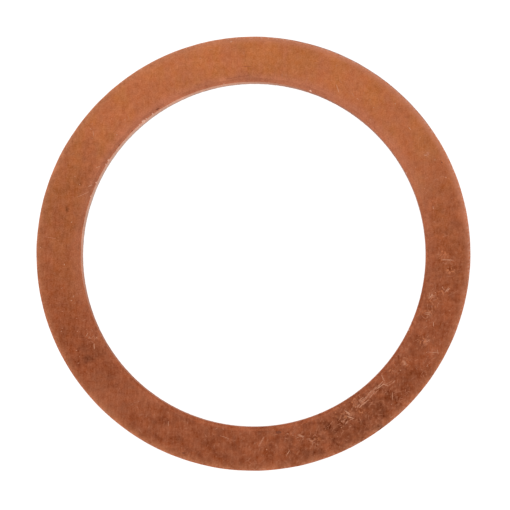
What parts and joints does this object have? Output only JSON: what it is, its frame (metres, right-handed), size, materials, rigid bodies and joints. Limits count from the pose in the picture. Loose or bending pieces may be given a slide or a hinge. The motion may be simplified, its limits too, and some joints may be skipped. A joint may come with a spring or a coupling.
{
  "type": "sealing washer",
  "caption": "Flat copper sealing ring for a screwed joint, with the rolled, burnished and torn edges that blanking leaves.",
  "frame": {"origin": "centre of the underside, on the ring's axis, at the height of the surface it lies on", "axes": "+Z along the ring's axis, up, out of the face whose edges roll down; the ring is the same in every direction about it"},
  "size_m": [0.038, 0.038, 0.002],
  "materials": {
    "copper": "satin"
  },
  "bodies": {
    "root": {"washer": "copper"}
  },
  "joints": []
}
